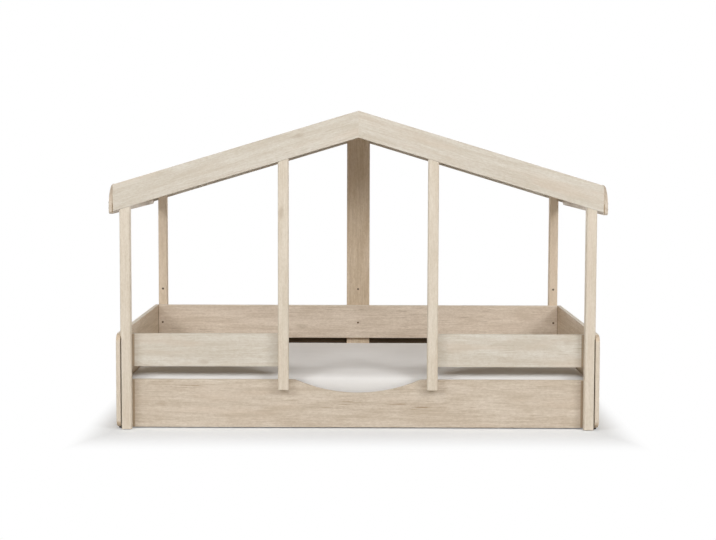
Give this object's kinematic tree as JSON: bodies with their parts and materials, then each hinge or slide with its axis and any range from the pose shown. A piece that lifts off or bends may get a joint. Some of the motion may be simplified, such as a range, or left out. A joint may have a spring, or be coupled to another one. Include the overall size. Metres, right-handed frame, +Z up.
{
  "type": "house frame bed",
  "caption": "Low child's single bed in pale oak board with an open house-shaped roof frame, front guards, a curved entry and a lift-out mattress.",
  "frame": {"origin": "on the floor under the middle of the bed", "axes": "+X along the bed towards the right end seen from the entry side, +Y from the entry side to the back panel, +Z up"},
  "size_m": [2.101, 1.126, 1.352],
  "materials": {
    "oak_lengthwise": "matt pale oak decor, grain along the bed",
    "oak_upright": "matt pale oak decor, grain upright",
    "oak_crosswise": "matt pale oak decor, grain from front to back",
    "oak_rafter_left": "matt pale oak decor, grain along the left rafters",
    "oak_rafter_right": "matt pale oak decor, grain along the right rafters",
    "base_wood": "plain sawn softwood",
    "mattress_cover": "white knitted cover",
    "webbing": "woven band",
    "bolt_metal": "bronzed",
    "zinc_steel": "zinc plated",
    "cap_plastic": "matt brown",
    "foot_plastic": "matt black"
  },
  "bodies": {
    "bed": {"apex_plate": "zinc_steel", "apex_screws": "zinc_steel", "back_panel": "oak_lengthwise", "beam_holder_left": "zinc_steel", "beam_holder_right": "zinc_steel", "centre_beam": "base_wood", "centre_board_bolts": "bolt_metal", "centre_foot_left": "base_wood", "centre_foot_right": "base_wood", "eave_board_left": "oak_crosswise", "eave_board_right": "oak_crosswise", "eave_screws": "zinc_steel", "end_panel_bolts": "bolt_metal", "end_panel_left": "oak_crosswise", "end_panel_right": "oak_crosswise", "front_corner_post_left": "oak_upright", "front_corner_post_right": "oak_upright", "front_guard_left": "oak_lengthwise", "front_guard_right": "oak_lengthwise", "front_middle_post_left": "oak_upright", "front_middle_post_right": "oak_upright", "front_rafter_left": "oak_rafter_left", "front_rafter_right": "oak_rafter_right", "front_rail": "oak_lengthwise", "glides": "foot_plastic", "holder_screws": "zinc_steel", "hole_caps": "cap_plastic", "ledge_front": "base_wood", "ledge_rear": "base_wood", "ledge_screws": "zinc_steel", "post_bolts": "bolt_metal", "rafter_bolts": "bolt_metal", "rear_centre_board": "oak_upright", "rear_corner_post_left": "oak_upright", "rear_corner_post_right": "oak_upright", "rear_rafter_left": "oak_rafter_left", "rear_rafter_right": "oak_rafter_right", "rear_rail": "oak_lengthwise", "rear_stretcher": "oak_lengthwise", "slat_01": "base_wood", "slat_02": "base_wood", "slat_03": "base_wood", "slat_04": "base_wood", "slat_05": "base_wood", "slat_06": "base_wood", "slat_07": "base_wood", "slat_08": "base_wood", "slat_09": "base_wood", "slat_10": "base_wood", "slat_11": "base_wood", "slat_12": "base_wood", "slat_13": "base_wood", "slat_14": "base_wood", "slat_15": "base_wood", "slat_bands": "webbing", "slat_pegs": "base_wood", "stretcher_dowels": "base_wood", "stretcher_screws": "zinc_steel"},
    "mattress": {"mattress": "mattress_cover"}
  },
  "joints": [
    {"name": "mattress_lift", "type": "slide", "parent": "bed", "child": "mattress", "axis": [0, 0, 1], "range_m": [0, 1.3]}
  ]
}
